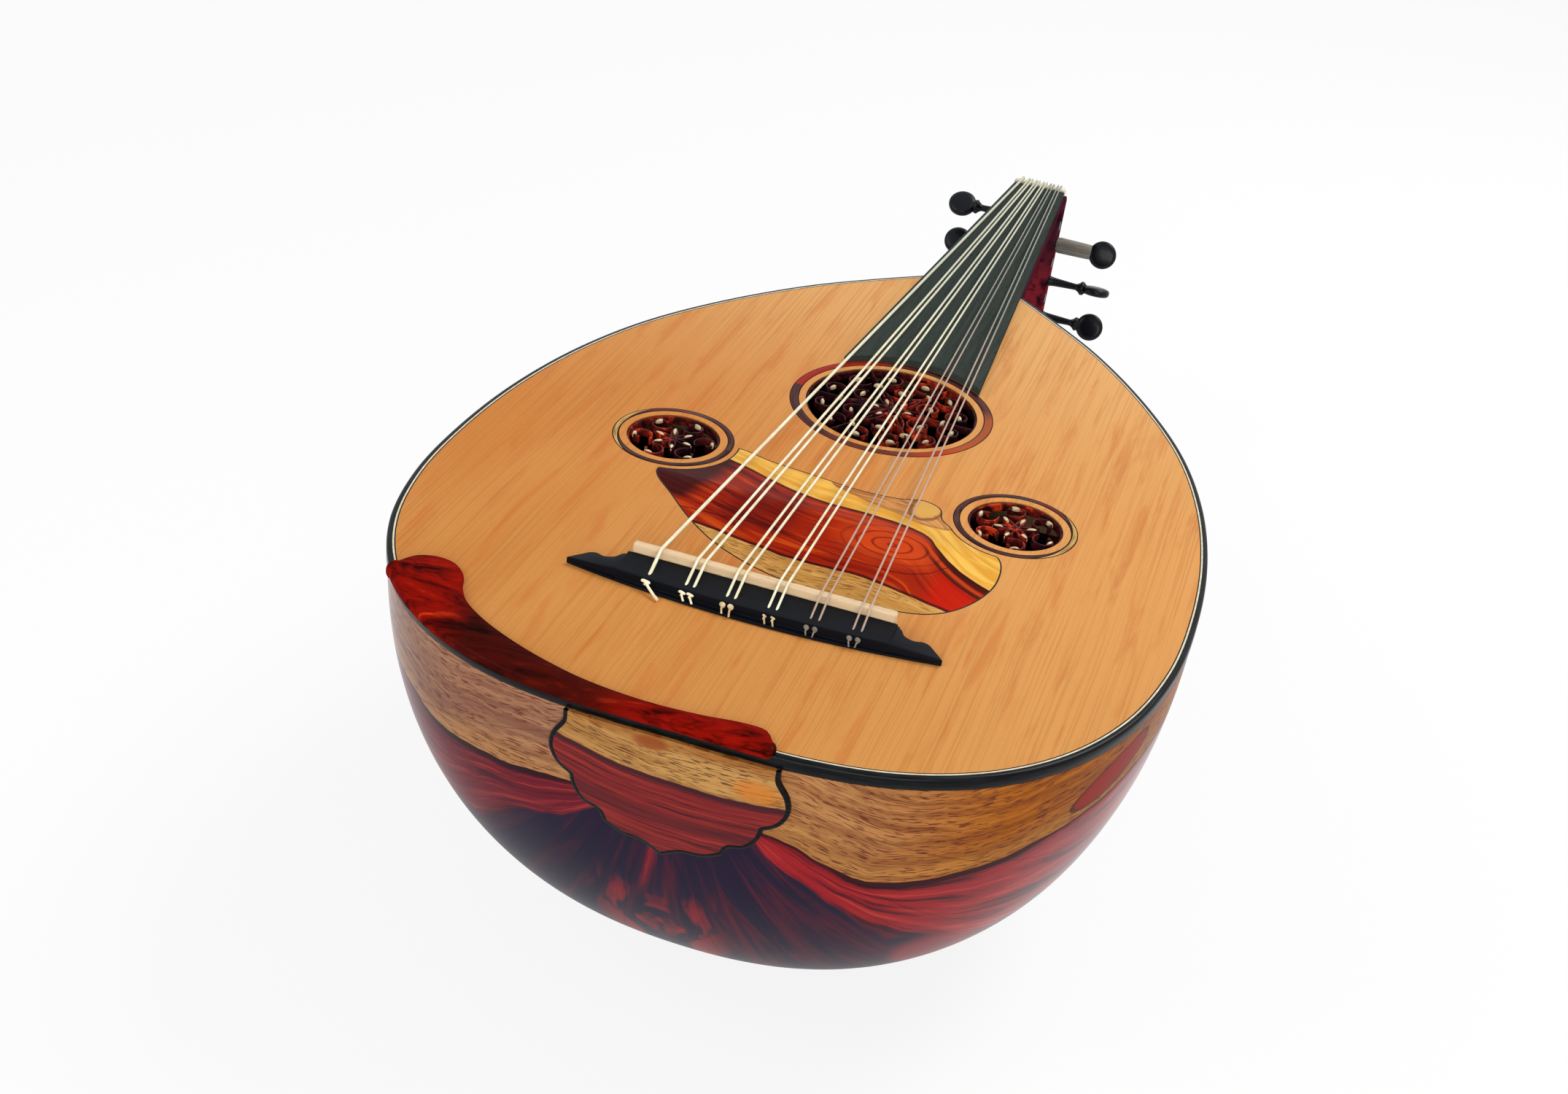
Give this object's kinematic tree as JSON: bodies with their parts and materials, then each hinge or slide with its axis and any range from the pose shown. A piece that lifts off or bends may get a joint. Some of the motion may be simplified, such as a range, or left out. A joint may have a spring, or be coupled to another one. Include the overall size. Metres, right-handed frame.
{
  "type": "oud",
  "caption": "Short-necked fretless lute with a deep ribbed bowl, flat soundboard with pierced roses, bent-back pegbox with turning pegs and strings wound on them.",
  "frame": {"origin": "under the middle of the oud's box, on the surface that it lies on, back down", "axes": "+Y from the tail to the neck, +X to the right seen from the tail with the strings up, +Z out of the soundboard"},
  "size_m": [0.3718, 0.73, 0.2045],
  "materials": {
    "bowl_heartwood": "high gloss, red-brown stripes darkening to near black",
    "bowl_sapwood": "high gloss, yellow sapwood with short dark pores",
    "soundboard_cedar": "satin, fine straight grain along the neck",
    "binding_black": "satin black",
    "rose_wood": "satin, dark red fretwork",
    "guard_wood": "gloss, red heartwood with dark lines",
    "inner_spruce": "raw, planed",
    "ebony": "satin near black",
    "saddle_maple": "satin pale",
    "nut_bone": "polished bone, pale cream",
    "neck_wood": "gloss dark red",
    "string_wound": "pale wound string",
    "string_nylon": "clear nylon, slightly pink"
  },
  "bodies": {
    "root": {"bowl_rib_1": "bowl_sapwood", "bowl_rib_2": "bowl_heartwood", "bowl_rib_3": "bowl_heartwood", "bowl_rib_4": "bowl_heartwood", "bowl_rib_5": "bowl_heartwood", "bowl_rib_6": "bowl_heartwood", "bowl_rib_7": "bowl_heartwood", "bowl_rib_8": "bowl_heartwood", "bowl_rib_9": "bowl_heartwood", "bowl_rib_10": "bowl_heartwood", "bowl_rib_11": "bowl_sapwood", "tail_cap": "bowl_sapwood", "soundboard": "soundboard_cedar", "edge_binding": "binding_black", "rose_main": "rose_wood", "rose_left": "rose_wood", "rose_right": "rose_wood", "rose_ring_main": "rose_wood", "rose_ring_left": "rose_wood", "rose_ring_right": "rose_wood", "pickguard": "guard_wood", "arm_guard": "guard_wood", "tail_block": "inner_spruce", "neck_block": "inner_spruce", "brace_1": "inner_spruce", "brace_2": "inner_spruce", "brace_3": "inner_spruce", "brace_4": "inner_spruce", "brace_5": "inner_spruce", "bridge": "ebony", "fingerboard": "ebony", "pegbox_finial": "ebony", "saddle": "saddle_maple", "nut": "nut_bone", "neck": "neck_wood", "pegbox_cheek_left": "neck_wood", "pegbox_cheek_right": "neck_wood", "pegbox_floor": "neck_wood", "string_1": "string_wound", "string_2": "string_wound", "string_3": "string_wound", "string_4": "string_wound", "string_5": "string_wound", "string_6": "string_wound", "string_7": "string_wound", "string_8": "string_nylon", "string_9": "string_nylon", "string_10": "string_nylon", "string_11": "string_nylon"},
    "peg_1": {"peg_1": "ebony"},
    "peg_2": {"peg_2": "ebony"},
    "peg_3": {"peg_3": "ebony"},
    "peg_4": {"peg_4": "ebony"},
    "peg_5": {"peg_5": "ebony"},
    "peg_6": {"peg_6": "ebony"},
    "peg_7": {"peg_7": "ebony"},
    "peg_8": {"peg_8": "ebony"},
    "peg_9": {"peg_9": "ebony"},
    "peg_10": {"peg_10": "ebony"},
    "peg_11": {"peg_11": "ebony"}
  },
  "joints": [
    {"name": "peg_1_turn", "type": "hinge", "parent": "root", "child": "peg_1", "pos_m": [0, 0.32911, 0.17182], "axis": [1, 0, 0], "continuous": true},
    {"name": "peg_2_turn", "type": "hinge", "parent": "root", "child": "peg_2", "pos_m": [0, 0.33171, 0.15705], "axis": [1, 0, 0], "continuous": true},
    {"name": "peg_3_turn", "type": "hinge", "parent": "root", "child": "peg_3", "pos_m": [0, 0.33432, 0.14228], "axis": [1, 0, 0], "continuous": true},
    {"name": "peg_4_turn", "type": "hinge", "parent": "root", "child": "peg_4", "pos_m": [0, 0.33692, 0.1275], "axis": [1, 0, 0], "continuous": true},
    {"name": "peg_5_turn", "type": "hinge", "parent": "root", "child": "peg_5", "pos_m": [0, 0.33953, 0.11273], "axis": [1, 0, 0], "continuous": true},
    {"name": "peg_6_turn", "type": "hinge", "parent": "root", "child": "peg_6", "pos_m": [0, 0.34213, 0.09796], "axis": [1, 0, 0], "continuous": true},
    {"name": "peg_7_turn", "type": "hinge", "parent": "root", "child": "peg_7", "pos_m": [0, 0.34474, 0.08319], "axis": [1, 0, 0], "continuous": true},
    {"name": "peg_8_turn", "type": "hinge", "parent": "root", "child": "peg_8", "pos_m": [0, 0.34734, 0.06841], "axis": [1, 0, 0], "continuous": true},
    {"name": "peg_9_turn", "type": "hinge", "parent": "root", "child": "peg_9", "pos_m": [0, 0.34995, 0.05364], "axis": [1, 0, 0], "continuous": true},
    {"name": "peg_10_turn", "type": "hinge", "parent": "root", "child": "peg_10", "pos_m": [0, 0.35255, 0.03887], "axis": [1, 0, 0], "continuous": true},
    {"name": "peg_11_turn", "type": "hinge", "parent": "root", "child": "peg_11", "pos_m": [0, 0.35515, 0.0241], "axis": [1, 0, 0], "continuous": true}
  ]
}
